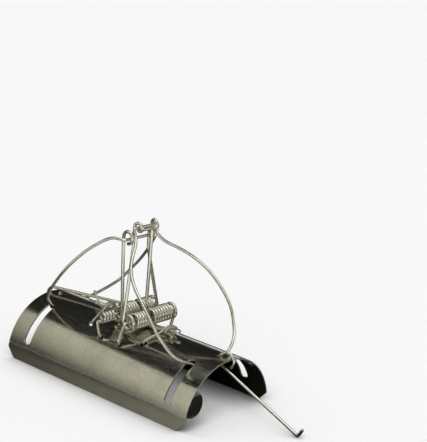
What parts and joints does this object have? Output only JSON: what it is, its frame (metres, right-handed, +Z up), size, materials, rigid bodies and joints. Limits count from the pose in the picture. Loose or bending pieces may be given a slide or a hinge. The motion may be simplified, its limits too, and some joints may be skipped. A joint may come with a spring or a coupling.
{
  "type": "mole trap",
  "caption": "Tunnel mole trap: a half round sheet metal tunnel with twin wire torsion springs on its crown, wire strike loops through side slots and hinged trigger pins.",
  "frame": {"origin": "on the floor, under the middle of the whole trap with its right trigger pin; the tunnel's middle is 22.05 mm to its -X side", "axes": "+X along the tunnel, +Y across it, +Z up"},
  "size_m": [0.1986, 0.069, 0.0985],
  "materials": {
    "tin_plate": "satin tin plate",
    "spring_wire": "bright drawn spring wire",
    "loop_wire": "bright zinc plated wire",
    "tie_wire": "soft galvanised wire"
  },
  "bodies": {
    "base": {"tunnel": "tin_plate", "left_spring_coils": "spring_wire", "right_spring_coils": "spring_wire", "left_spring_axle": "loop_wire", "right_spring_axle": "loop_wire", "left_tie_wire": "tie_wire", "right_tie_wire": "tie_wire"},
    "left_arms": {"left_near_spring_arm": "spring_wire", "left_far_spring_arm": "spring_wire"},
    "left_loop": {"left_strike_loop": "loop_wire"},
    "right_arms": {"right_spring_arms": "spring_wire"},
    "right_loop": {"right_strike_loop": "loop_wire"},
    "left_pin": {"left_trigger_pin": "loop_wire"},
    "right_pin": {"right_trigger_pin": "loop_wire"}
  },
  "joints": [
    {"name": "left_arm_swing", "type": "hinge", "parent": "base", "child": "left_arms", "pos_m": [-0.02985, 0, 0.04], "axis": [0, -1, 0], "range_deg": [0, 68], "stiffness_Nm_per_rad": 0.3, "springref_deg": -40.11},
    {"name": "left_loop_swing", "type": "hinge", "parent": "left_arms", "child": "left_loop", "pos_m": [-0.02115, 0, 0.0874], "axis": [0, 1, 0], "range_deg": [0, 32]},
    {"name": "right_arm_swing", "type": "hinge", "parent": "base", "child": "right_arms", "pos_m": [-0.01425, 0, 0.04], "axis": [0, 1, 0], "range_deg": [0, 68], "stiffness_Nm_per_rad": 0.3, "springref_deg": -40.11},
    {"name": "right_loop_swing", "type": "hinge", "parent": "right_arms", "child": "right_loop", "pos_m": [-0.01665, 0, 0.0948], "axis": [0, -1, 0], "range_deg": [0, 26]},
    {"name": "left_pin_swing", "type": "hinge", "parent": "base", "child": "left_pin", "pos_m": [-0.09393, -0.00095, 0.033], "axis": [0.2079, -0.9781, 0], "range_deg": [0, 270]},
    {"name": "right_pin_swing", "type": "hinge", "parent": "base", "child": "right_pin", "pos_m": [0.04983, 0.00093, 0.033], "axis": [0.2028, -0.9792, 0], "range_deg": [-70, 200]}
  ],
  "couplings": [
    {"joint": "left_loop_swing", "follows": "left_arm_swing", "ratio": 0.464},
    {"joint": "right_loop_swing", "follows": "right_arm_swing", "ratio": 0.373}
  ]
}
